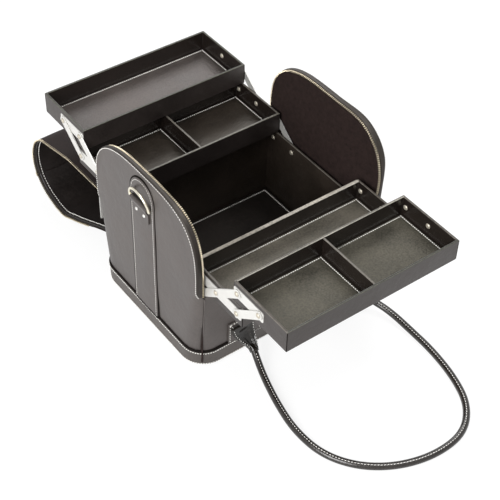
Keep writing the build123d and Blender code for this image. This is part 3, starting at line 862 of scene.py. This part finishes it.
def pad(name, body, low, high, mat, node, inset=0.0030, thick=0.0006):
    """Padded floor with a stitched border."""
    (x0, y0, z0), (x1, y1, z1) = low, high
    columns = PAD_COLUMNS + 1
    verts = []
    for j in range(PAD_ROWS + 1):
        for i in range(columns):
            x = x0 + (x1 - x0) * (0.5 - 0.5 * cos(pi * (i / PAD_COLUMNS)))
            y = y0 + (y1 - y0) * (0.5 - 0.5 * cos(pi * (j / PAD_ROWS)))
            edge = min(x - x0, x1 - x, y - y0, y1 - y)
            lift = PAD_CROWN * smooth(inset * 0.8, inset * 0.8 + 0.022, edge)
            groove = -PAD_GROOVE * exp(-((edge - inset) / 0.0008) ** 2)
            round_off = -0.0006 * (1 - smooth(0, 0.0012, edge))
            ripple = noise.noise(Vector((x * 30, y * 30, z0 * 50))) * 0.0002
            ripple *= smooth(0.004, 0.02, edge)
            verts.append((x, y, z1 + lift + groove + round_off + ripple - PAD_CROWN * 0.2))
    faces = grid_faces(PAD_ROWS + 1, columns)
    rim = grid_rim(PAD_ROWS + 1, columns)
    start = len(verts)
    verts += [(verts[index][0], verts[index][1], z0) for index in rim]
    for k in range(len(rim)):
        m = (k + 1) % len(rim)
        faces.append((rim[m], rim[k], start + k, start + m))
    faces.append(tuple(start + k for k in range(len(rim)))[::-1])
    piece = mesh_piece(name, verts, faces, body, [mat], replaces=[node])
    stitches(name + "_stitches", [corners_at(low, high, inset, z1 - 0.0003)], (0, 0, 1), body,
             closed=True, radius=thick, length=0.0024, pitch=0.0031)


def partition(name, body, foot):
    """Thin leather wall between two halves of a tray."""
    low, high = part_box(f"{name}_divider")
    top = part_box(body)[1].z - 0.0008
    verts = corners_at(low, high, 0, foot) + corners_at(low, high, 0, top)
    faces = [(3, 2, 1, 0), (4, 5, 6, 7)]
    faces += [(k, (k + 1) % 4, 4 + (k + 1) % 4, 4 + k) for k in range(4)]
    # Its top takes a rim material whose pale tone paints a highlight
    wall = mesh_piece(f"{name}_partition", verts, faces, body, [TRAY_INSIDE, RIM_MID_PAINTED_HIGHLIGHT[0]],
                      face_mats=[0, 1, 0, 0, 0, 0], smooth=False,
                      replaces=[f"{name}_divider"])
    soften(wall, 0.0008, 0.6)


# The lower back tray's darker pad is painted shade
TRAYS = (
    ("back_lower", True, PAD_PAINTED_SHADE),
    ("back_upper", False, PAD_GREY),
    ("front_lower", False, PAD_LIGHT),
    ("front_upper", True, PAD),
)
for name, divided, pad_mat in TRAYS:
    body = f"{name}_tray"
    node = f"{name}_pad"
    tray_shell(f"{name}_shell", body, body, TRAY_FLOOR, RIMS[name], TRAY_INSIDE)
    low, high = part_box(node)
    if divided:
        wall_low, wall_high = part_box(f"{name}_divider")
        left_high = Vector((wall_low.x - PAD_GAP, high.y, high.z))
        right_low = Vector((wall_high.x + PAD_GAP, low.y, low.z))
        pad(f"{name}_pad_left", body, low, left_high, pad_mat, node)
        pad(f"{name}_pad_right", body, right_low, high, pad_mat, node)
        partition(name, body, low.z)
    else:
        pad(f"{name}_pad_whole", body, low, high, pad_mat, node)

# The inner box's walls take the lighter copy: painted light
tray_shell("inner_box_shell", "case", "inner_box", BOX_FLOOR, RIMS["inner_box"], BOX_INSIDE_PAINTED_LIGHT)
pad("inner_box_floor", "case", *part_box("inner_box_pad"), BOX_PAD_PAINTED_SHADE, "inner_box_pad", inset=0.006,
    thick=0.00085)

# Rounded welt on the back rim of the lower front tray, in a pale tone that paints its highlight
low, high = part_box("front_lower_tray")
ARC = 12
welt = []
for x in (low.x + 0.0032, high.x - 0.0035):
    for k in range(ARC + 1):
        angle = pi * k / ARC
        welt.append((x, high.y - 0.0022 + 0.0024 * cos(angle),
                     high.z - 0.0002 + 0.0009 * sin(angle)))
last = 2 * ARC + 1
faces = [(k, k + 1, ARC + 2 + k, ARC + 1 + k) for k in range(ARC)]
faces += [tuple(range(ARC + 1)), tuple(range(last, ARC, -1)), (0, ARC + 1, last, ARC)]
mesh_piece("front_lower_rim_welt", welt, faces, "front_lower_tray", [WELT[0]])

# Cover

# Corners of the cover's outer line in the YZ plane, and the radius at each inner one
COVER_ROUTE = [
    (0.1093, 0.1242), (0.2000, 0.1205), (0.2880, 0.1030), (0.3140, 0.0520),
    (0.2900, 0.0115), (0.2520, 0.0004), (0.2300, 0.0004), (0.1140, 0.0550),
]
COVER_RADII = [0.160, 0.044, 0.058, 0.055, 0.030, 0.040]
COVER_POINTS = 130
COVER_COLUMNS = 61
# Point of the line at which the zip of the cover ends
ZIP_END = 116


def rounded(route, radii, steps=12):
    """The route with an arc of the given radius at each corner."""
    route = [Vector(p) for p in route]
    line = [route[0]]
    for before, corner, after, radius in zip(route, route[1:], route[2:], radii):
        arrive = (corner - before).normalized()
        leave = (after - corner).normalized()
        half_turn = arrive.angle(leave) / 2
        start = corner - arrive * radius * tan(half_turn)
        centre = corner + (leave - arrive).normalized() * radius / cos(half_turn)
        spoke = start - centre
        for s in range(steps + 1):
            line.append(centre + Matrix.Rotation(-2 * half_turn * s / steps, 2) @ spoke)
    return line + [route[-1]]


# Points of the cover's outer line with the direction into the loop
cover_frames = with_inward(even(rounded(COVER_ROUTE, COVER_RADII), COVER_POINTS))


def cover_half(k):
    """Half width of the cover along its line."""
    share = k / (COVER_POINTS - 1)
    return 0.1285 + 0.0015 * smooth(0.2, 0.5, share) - 0.0030 * smooth(0.80, 1.0, share)


def cover_wave(x, k):
    """Slight puckering of the cover, more towards its edges and its free end."""
    share = k / (COVER_POINTS - 1)
    edge = abs(x) / 0.13
    sway = noise.noise(Vector((x * 22, share * 9.0, 1.7)))
    pucker = noise.noise(Vector((x * 60, share * 26.0, 5.1)))
    return (0.0011 * sway + 0.0004 * pucker) * smooth(0.04, 0.25, share) * (0.4 + 0.6 * edge ** 2)


def cover_place(x, k, depth, lowest):
    """Place at a depth into the cover's loop, never lower than a height over the ground."""
    point, inward = cover_frames[k]
    reach = depth + cover_wave(x, k)
    return (x, point.x + inward.x * reach, max(point.y + inward.y * reach, lowest))


def cover_layer(name, outer, inner, margin, mat, node):
    """One layer of the cover between two depths into the loop."""
    verts, faces = [], []
    columns = COVER_COLUMNS
    for depth in (outer, inner):
        for k in range(COVER_POINTS):
            half = cover_half(k) - margin
            for j in range(columns):
                u = -1 + 2 * j / (columns - 1)
                u = copysign(1 - (1 - abs(u)) ** 1.3, u)
                verts.append(cover_place(half * u, k, depth, 0.0004))
    sheet = COVER_POINTS * columns
    for a, b, c, d in grid_faces(COVER_POINTS, columns):
        faces.append((a, b, c, d))
        faces.append((sheet + d, sheet + c, sheet + b, sheet + a))
    rim = grid_rim(COVER_POINTS, columns)
    for k in range(len(rim)):
        m = (k + 1) % len(rim)
        faces.append((rim[m], rim[k], sheet + rim[k], sheet + rim[m]))
    return mesh_piece(name, verts, faces, "cover", [mat], replaces=[node])


# The leather side, inside the curl, takes the darker copy: painted shade
cover_inner = cover_layer("cover_leather_sheet", 0.0008, 0.0030, 0.0035, COVER_SKIN_PAINTED_SHADE,
                          "cover_leather")
cover_outer = cover_layer("cover_lining_sheet", 0.0000, 0.0008, 0.0015, LINING,
                          "cover_lining")


def cover_path(edge_inset, depth, side, first, last):
    """Line along a side of the cover."""
    return [Vector(cover_place(side * (cover_half(k) - edge_inset), k, depth, 0.0006))
            for k in range(first, last)]


def cover_facing(sign):
    """Direction out of the loop (+1) or into it (-1) near a place."""
    def facing(spot):
        inward = min(cover_frames, key=lambda frame: (frame[0].x - spot.y) ** 2
                     + (frame[0].y - spot.z) ** 2)[1]
        return (0, -sign * inward.x, -sign * inward.y)
    return facing


for side, hand in HANDS:
    zip_teeth(f"{hand}_cover_teeth", cover_path(0.0007, 0.0006, side, 1, ZIP_END), (side, 0, 0),
              cover_facing(1), "cover", ["cover_zip_teeth"])
    tape = []
    for k in range(ZIP_END + 3):
        for inset, depth in ((0.0005, 0.0004), (0.0005, 0.0012), (0.0055, 0.0012),
                             (0.0055, 0.0002)):
            tape.append(cover_place(side * (cover_half(k) - inset), k, depth, 0.0005))
    mesh_piece(f"{hand}_cover_tape", tape, grid_faces(ZIP_END + 3, 4, False, True), "cover",
               [TAPE], replaces=["cover_zip_tapes"])
    stitches(f"{hand}_cover_stitches", [cover_path(0.0080, 0.0031, side, 2, COVER_POINTS)],
             cover_facing(-1), "cover", radius=0.0006)

# Straps and rings

STRAP_FACE = 0.1418
STRAP_HALF = 0.025
STRAP_TOP = 0.234
STRAP_FOOT = 0.0235
STRAP_POINTS = 90
ROUND_STEPS = 24
# Rings of a strap from its sunken edge to its face: inset and place along X
STRAP_RINGS = (
    (0.0, 0.1398),
    (0.0, STRAP_FACE - 0.0006),
    (0.0005, STRAP_FACE + 0.0001),
    (0.0018, STRAP_FACE + 0.0004),
    (0.0032, STRAP_FACE + 0.0001),
    (0.0060, STRAP_FACE + 0.0005),
)


def strap_line(inset, foot):
    """Edge line of an end strap, from one foot over its round top to the other."""
    half = STRAP_HALF - inset
    centre = STRAP_TOP - STRAP_HALF
    line = [(-half, foot), (-half, centre)]
    for k in range(1, ROUND_STEPS):
        angle = pi * k / ROUND_STEPS
        line.append((-half * cos(angle), centre + half * sin(angle)))
    return line + [(half, centre), (half, foot)]


for side, hand in HANDS:
    verts = []
    for inset, x in STRAP_RINGS:
        line = even(strap_line(inset, STRAP_FOOT), STRAP_POINTS)
        verts += [(side * x, p.x, p.y) for p in line]
    edge = even(strap_line(0, STRAP_FOOT), STRAP_POINTS)
    verts += [(side * (STRAP_FACE + 0.0007), 0.0, p.y * 0.98) for p in edge]
    faces = grid_faces(len(STRAP_RINGS) + 1, STRAP_POINTS)
    mesh_piece(f"{hand}_end_strap", verts, faces, "case", [OUTER], replaces=["ring_straps"],
               turned=side > 0)
    run = [Vector((side * (STRAP_FACE + 0.0001), y, z)) for y, z in strap_line(0.0030, 0.026)]
    stitches(f"{hand}_strap_stitches", [run], (side, 0, 0), "case", radius=0.00036,
             length=0.0018, pitch=0.0032)
    # Dark tubes along the strap's edges and along its foot: painted shadow of the strap's thickness
    # and of the band's edge
    foot_line = [(-STRAP_HALF, BAND_TOP + 0.0012), (STRAP_HALF, BAND_TOP + 0.0014)]
    for part, line, reach, radius in (("edge", strap_line(-0.0006, 0.0265), 0.1404, 0.0012),
                                      ("foot", foot_line, STRAP_FACE - 0.0006, 0.0018)):
        run = [Vector((side * reach, y, z)) for y, z in line]
        tube_piece(f"{hand}_strap_{part}", run, radius)

# Handle stitching

LOOP_MIDDLE = Vector((0.010, -0.235, 0))


def handle_side(spot):
    """Direction from the handle's line to its stitched seam: up and into the loop."""
    inward = (LOOP_MIDDLE - Vector((spot.x, spot.y, 0))).normalized()
    return (inward.x * 0.15 - 0.25, inward.y * 0.15 - 0.35, 1.0)


seam_line = []
for before, point, after in zip(handle_line[1:], handle_line[2:-2], handle_line[3:]):
    along = (after - before).normalized()
    up = Vector(handle_side(point))
    up = (up - along * up.dot(along)).normalized()
    seam_line.append(point + up * (HANDLE_DIAMETER / 2 + 0.00005))
stitches("handle_stitches", [seam_line], handle_side, "handle", radius=0.0004, length=0.0024)

# Handle ends and patches

# Half width and half depth of a handle end from its sewn edge (0) to the rolled part (1)
WIDTHS = ((0, 0.0168), (0.15, 0.0162), (0.35, 0.0140), (0.55, 0.0110), (0.75, 0.0080),
          (0.90, 0.0060), (1, 0.0054))
DEPTHS = ((0, 0.0016), (0.15, 0.0022), (0.35, 0.0030), (0.55, 0.0038), (0.72, 0.0045),
          (0.86, 0.0050), (1, 0.0051))
STATIONS = 34
SPOKES = 64
# Place across a handle end at which its hem stands and is stitched
HEM_AT = 0.84
# A stitched patch: its middle, half width, face, foot and top
PATCH_X = 0.070
PATCH_HALF = 0.0225
PATCH_FACE = -0.1109
PATCH_FOOT = 0.0255
PATCH_TOP = 0.0555


def bezier(a, b, c, d, t):
    """Point of a cubic curve."""
    return a * (1 - t) ** 3 + b * 3 * t * (1 - t) ** 2 + c * 3 * t * t * (1 - t) + d * t ** 3


def table(rows, t):
    """Value between the rows of a table."""
    for (t0, v0), (t1, v1) in zip(rows, rows[1:]):
        if t <= t1:
            return v0 + (v1 - v0) * smooth(t0, t1, t)
    return rows[-1][1]


for side, hand, first, second in ((-1, "left", 0, 1), (1, "right", -1, -2)):
    top = Vector((side * 0.076, -0.1135, 0.0500))
    socket = Vector(HANDLE_ROUTE[first])
    heading = (Vector(HANDLE_ROUTE[second]) - socket).normalized()
    marks = (top, top + Vector((0, -0.002, -0.014)), socket - heading * 0.012,
             socket + heading * 0.004)
    verts, left_edge, right_edge = [], [], []
    for i in range(STATIONS):
        t = i / (STATIONS - 1)
        centre = bezier(*marks, t)
        along = bezier(*marks, min(t + 0.01, 1)) - bezier(*marks, max(t - 0.01, 0))
        along.normalize()
        across = (Vector((1, 0, 0)) - along * along.x).normalized()
        face = across.cross(along).normalized()
        if face.y > 0:
            face = -face
        width, depth = table(WIDTHS, t), table(DEPTHS, t)
        hollow = 0.0030 * smooth(0.05, 0.30, t) * (1 - smooth(0.75, 0.95, t))
        hem = 0.0012 * (1 - smooth(0.7, 1, t))
        pucker = 0.0011 * smooth(0.25, 0.6, t) * (1 - smooth(0.85, 1, t))
        for k in range(SPOKES):
            angle = 2 * pi * k / SPOKES
            c, h = cos(angle), sin(angle)
            u = copysign(abs(c) ** 0.75, c)
            v = copysign(abs(h) ** 0.75, h)
            dent = (hollow * exp(-(u / 0.55) ** 4) - pucker * cos(u * 14)) * max(v, 0)
            roll = hem * exp(-((abs(u) - HEM_AT) / 0.12) ** 2) * max(v, 0)
            verts.append(centre + across * u * width + face * (v * depth - dent + roll))
        lift = (depth + hem) * 0.69 + 0.0002
        left_edge.append(centre - across * width * HEM_AT + face * lift)
        right_edge.append(centre + across * width * HEM_AT + face * lift)
    faces = grid_faces(STATIONS, SPOKES, False, True) + end_caps(STATIONS, SPOKES)
    mesh_piece(f"{hand}_handle_end", verts, faces, "handle", [ROLLED_END],
               replaces=["handle_ends"])
    stitches(f"{hand}_handle_end_stitches", [left_edge[1:-5], right_edge[1:-5]], (0, -1, 0.4),
             "handle", radius=0.00036, length=0.0019, pitch=0.0032)
    middle = side * PATCH_X
    x0, x1 = middle - PATCH_HALF, middle + PATCH_HALF
    rows = (((x0, PATCH_FOOT), (x0, PATCH_TOP)), ((x1, PATCH_FOOT), (x1, PATCH_TOP)),
            ((x0, PATCH_TOP), (middle - 0.002, PATCH_FOOT + 0.001)),
            ((x1, PATCH_TOP), (middle + 0.002, PATCH_FOOT + 0.001)),
            ((x0, PATCH_TOP), (x1, PATCH_TOP)))
    lines = [[Vector((x, PATCH_FACE, z)) for x, z in row] for row in rows]
    stitches(f"{hand}_patch_stitches", lines, (0, -1, 0), "case")

# CAD nodes that stay


def repaint(mat, *names):
    """Give CAD nodes a material."""
    for name in names:
        for slot in nodes[name].material_slots:
            slot.material = mat


repaint(BAND, "base_pan")
repaint(OUTER, "front_wall_leather", "back_wall_leather", "handle_straps", "ring_tabs")
repaint(BOARD, "base_board", "wall_boards", "base_padding")
repaint(LINING, "wall_linings")
repaint(RING, "left_d_ring", "right_d_ring")
repaint(NICKEL, "zip_sliders", "left_zip_pull", "right_zip_pull", "ring_studs")
repaint(RIVET, "box_rivets")
for way in ("back", "front"):
    repaint(NICKEL, f"{way}_long_link_left", f"{way}_long_link_right")
    for level in ("lower", "upper"):
        repaint(NICKEL, f"{way}_{level}_links", f"{way}_{level}_rails")
        repaint(RIVET, f"{way}_{level}_rivets")

# Floor, world and lamps

floor = mesh_object("floor", [(-6, -6, 0), (6, -6, 0), (6, 6, 0), (-6, 6, 0)], [(0, 1, 2, 3)])
floor.location.z = -0.0002
mat, shader, add = blank("pale_floor")
rays = add("LightPath")
seen = calculate(add, "MAXIMUM", rays["Is Camera Ray"], rays["Is Glossy Ray"])
seen = calculate(add, "MAXIMUM", seen, rays["Is Transmission Ray"])
fill(shader, {"Base Color": (0.82, 0.82, 0.82, 1), "Roughness": 0.9, "Specular IOR Level": 0.0})
glow = add("Emission", {"Color": (1, 1, 1, 1), "Strength": 0.84})[0]
dull = add("BsdfDiffuse", {"Color": (0.2, 0.2, 0.2, 1)})[0]
both = add("AddShader", {0: glow, 1: dull})[0]
choice = add("MixShader", {0: seen, 1: shader.outputs[0], 2: both})[0]
fill(mat.node_tree.nodes["Material Output"], {"Surface": choice})
floor.data.materials.append(mat)

world = bpy.context.scene.world or bpy.data.worlds.new("world")
bpy.context.scene.world = world
world.use_nodes = True
world.node_tree.nodes.clear()
add = adder(world.node_tree)
rays = add("LightPath")
seen = calculate(add, "MAXIMUM", rays["Is Camera Ray"], rays["Is Transmission Ray"])
bright = calculate(add, "MAXIMUM", seen, rays["Is Glossy Ray"])
level = calculate(add, "MULTIPLY_ADD", seen, 0.2, 0.8)
white = add("Background", {"Color": (1, 1, 1, 1), "Strength": level})[0]
soft = add("Background", {"Strength": 0.55})[0]
mixed = add("MixShader", {0: bright, 1: soft, 2: white})[0]
add("OutputWorld", {"Surface": mixed})

CASE_MIDDLE = Vector((0, 0, 0.12))


def lamp(name, place, size, power):
    """Soft area light aimed at the middle of the case."""
    piece = new_object(name, bpy.data.lights.new(name, "AREA"))
    piece.data.shape = "DISK"
    piece.data.size = size
    piece.data.energy = power
    piece.location = place
    aim = CASE_MIDDLE - Vector(place)
    piece.rotation_euler = aim.to_track_quat("-Z", "Y").to_euler()


lamp("key", (-1.7, -0.7, 1.1), 1.3, 46)
lamp("top", (0.5, -0.3, 1.9), 1.0, 20)
lamp("back", (0.9, 1.5, 1.6), 1.2, 16)

bpy.context.scene.view_settings.view_transform = "Standard"
